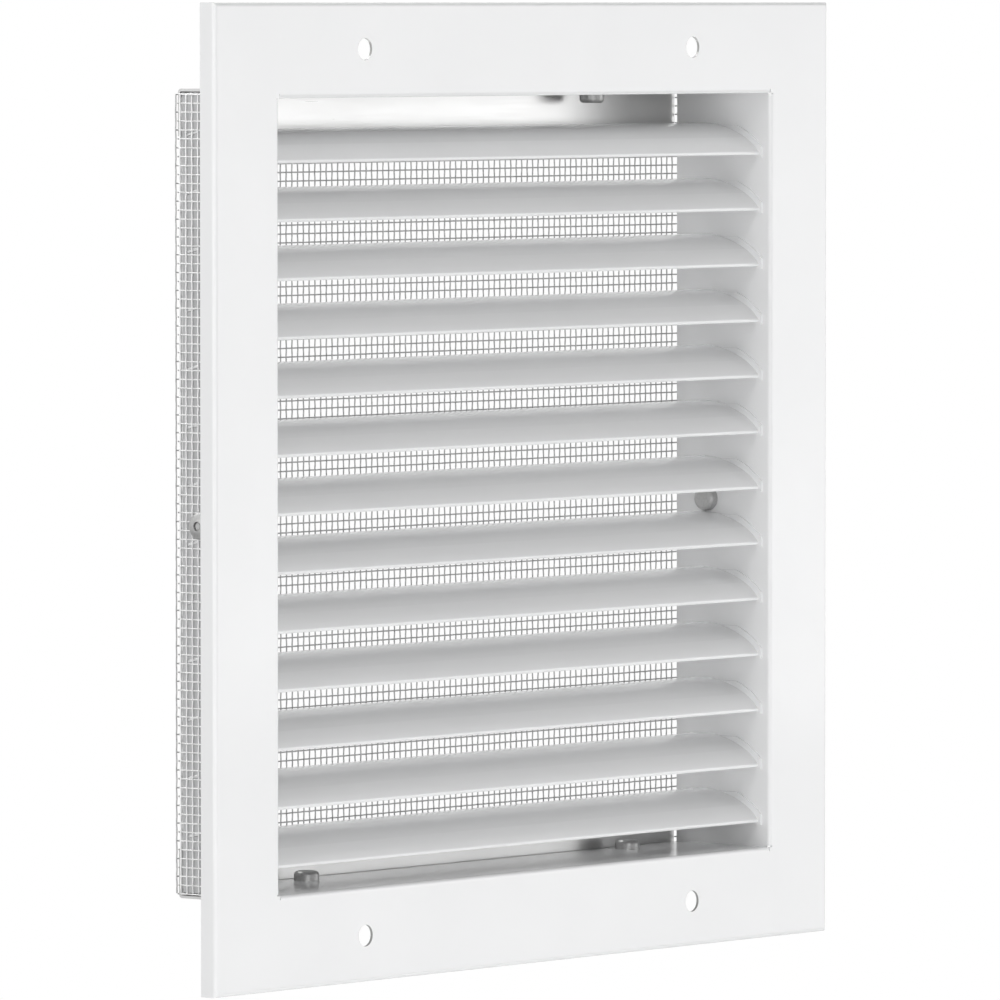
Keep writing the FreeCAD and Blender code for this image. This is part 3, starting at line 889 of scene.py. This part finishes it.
@dataclass
class Rivets:
    """The six blind rivets."""

    nodes: dict
    finish: BareRivet = BareRivet("rivet_aluminium")

    def dress(self) -> None:
        """Leaves them bare."""
        bare = self.finish.material()
        for name, node in self.nodes.items():
            if name.startswith("rivet"):
                repaint(node, bare)


def repaint(node: bpy.types.Object, finish: bpy.types.Material) -> None:
    """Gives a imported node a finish.

    Args:
        node: The node's object.
        finish: The material for all of it.
    """
    node.data.materials.clear()
    node.data.materials.append(finish)
    LOG.info("%s: %s", node.name, finish.name)


# The studio


@dataclass(frozen=True)
class PhotoCamera:
    """A long lens, to the vent's left and a little above its middle."""

    place: tuple[float, float, float] = (-2.95699, -2.43280, 0.17626)
    heading: float = 50.381
    dip: float = 2.723
    lens: float = 379.3
    sensor: float = 36.0
    nearest: float = 0.05
    farthest: float = 50.0

    def build(self) -> None:
        """Adds the camera and makes it the scene's own."""
        data = bpy.data.cameras.new("photo_camera")
        data.lens = self.lens
        data.sensor_width = self.sensor
        data.clip_start = self.nearest
        data.clip_end = self.farthest
        camera = bpy.data.objects.new("photo_camera", data)
        camera.location = self.place
        turn = (math.radians(90.0 - self.dip), 0.0, math.radians(-self.heading))
        camera.rotation_euler = Euler(turn)
        bpy.context.scene.collection.objects.link(camera)
        bpy.context.scene.camera = camera


@dataclass(frozen=True)
class SoftLamp:
    """A large square lamp."""

    name: str
    place: tuple[float, float, float]
    size: float
    power: float
    aim: tuple[float, float, float] = (0.0, 0.0, 0.0)

    def build(self) -> None:
        """Adds the lamp."""
        data = bpy.data.lights.new(self.name, "AREA")
        data.size = self.size
        data.energy = self.power
        lamp = bpy.data.objects.new(self.name, data)
        lamp.location = self.place
        sight = Vector(self.aim) - Vector(self.place)
        lamp.rotation_euler = sight.to_track_quat("-Z", "Y").to_euler()
        lamp.visible_camera = False
        bpy.context.scene.collection.objects.link(lamp)


LAMPS = (
    SoftLamp("far_right_box", (1.5, -1.5, 0.2), 1.2, 4.45),
    SoftLamp("near_right_box", (0.7, -0.45, 0.15), 0.6, 1.23),
    SoftLamp("front_left_box", (-1.3, -1.6, 0.1), 0.8, 6.1),
    SoftLamp("low_left_box", (-0.8, -1.0, -0.6), 0.8, 2.27),
    SoftLamp("high_left_box", (-0.65, -0.65, 1.0), 0.6, 2.62),
    SoftLamp("steep_box", (-0.4, -0.4, 1.2), 0.6, 0.78),
    SoftLamp("low_box", (0.0, -0.7, -0.9), 0.8, 5.2),
    SoftLamp("left_box", (-1.4, 0.1, 0.2), 0.9, 6.1),
    SoftLamp("small_left_box", (-1.3, -0.35, -0.1), 0.5, 0.65),
    SoftLamp("far_left_back_box", (-1.4, 0.7, 0.0), 1.0, 0.85),
    SoftLamp("high_back_box", (0.0, 0.9, 1.1), 0.9, 16.5),
)


@dataclass(frozen=True)
class Studio:
    """White surroundings, a pale floor well below the vent and soft lamps."""

    floor_level: float = -1.3
    floor_size: float = 12.0
    floor_colour: tuple[float, float, float, float] = (0.9, 0.9, 0.9, 1.0)
    world_level: float = 0.2
    lamps: tuple[SoftLamp, ...] = LAMPS

    def build_world(self) -> None:
        """Lights the vent evenly, and shows plain white to the camera and in bright metal."""
        world = bpy.data.worlds.new("white_studio")
        bpy.context.scene.world = world
        tree = NodeTree(world)
        path = tree.node("ShaderNodeLightPath")
        seen = tree.signal(path, "Is Camera Ray")
        for ray in ("Is Glossy Ray", "Is Transmission Ray"):
            seen = tree.maths("MAXIMUM", seen, tree.signal(path, ray))
        strength = seen * (1.0 - self.world_level) + self.world_level
        inputs = {"Color": (1.0, 1.0, 1.0, 1.0), "Strength": strength}
        tree.output(tree.node("ShaderNodeBackground", {}, inputs), "ShaderNodeOutputWorld")

    def build_floor(self) -> None:
        """Lays a pale floor that the camera sees as white."""
        mesh = bmesh.new()
        bmesh.ops.create_grid(mesh, x_segments=1, y_segments=1, size=self.floor_size / 2)
        data = bpy.data.meshes.new("floor")
        mesh.to_mesh(data)
        mesh.free()
        finish = bpy.data.materials.new("floor_white")
        tree = NodeTree(finish)
        path = tree.node("ShaderNodeLightPath")
        plain = tree.node("ShaderNodeBsdfDiffuse", {}, {"Color": self.floor_colour})
        white = tree.node("ShaderNodeEmission", {}, {"Strength": 1.0})
        blend = tree.node("ShaderNodeMixShader", {}, {0: tree.signal(path, "Is Camera Ray")})
        tree.tree.links.new(plain.outputs[0], blend.inputs[1])
        tree.tree.links.new(white.outputs[0], blend.inputs[2])
        tree.output(blend)
        data.materials.append(finish)
        floor = bpy.data.objects.new("floor", data)
        floor.location = (0.0, 0.0, self.floor_level)
        bpy.context.scene.collection.objects.link(floor)

    def build(self) -> None:
        """Builds the surroundings and the lamps."""
        self.build_world()
        self.build_floor()
        for lamp in self.lamps:
            lamp.build()
        bpy.context.scene.view_settings.view_transform = "Standard"


def main() -> None:
    """Builds and dresses the vent, then lights it and sets the camera."""
    logging.basicConfig(level=logging.INFO, format="%(message)s")
    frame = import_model()
    PhotoCamera().build()
    PaintedSheet(frame["nodes"]).dress()
    Retainers(frame["nodes"]).dress()
    Rivets(frame["nodes"]).dress()
    WireCloth().build()
    Studio().build()


if __name__ == "__main__":
    main()
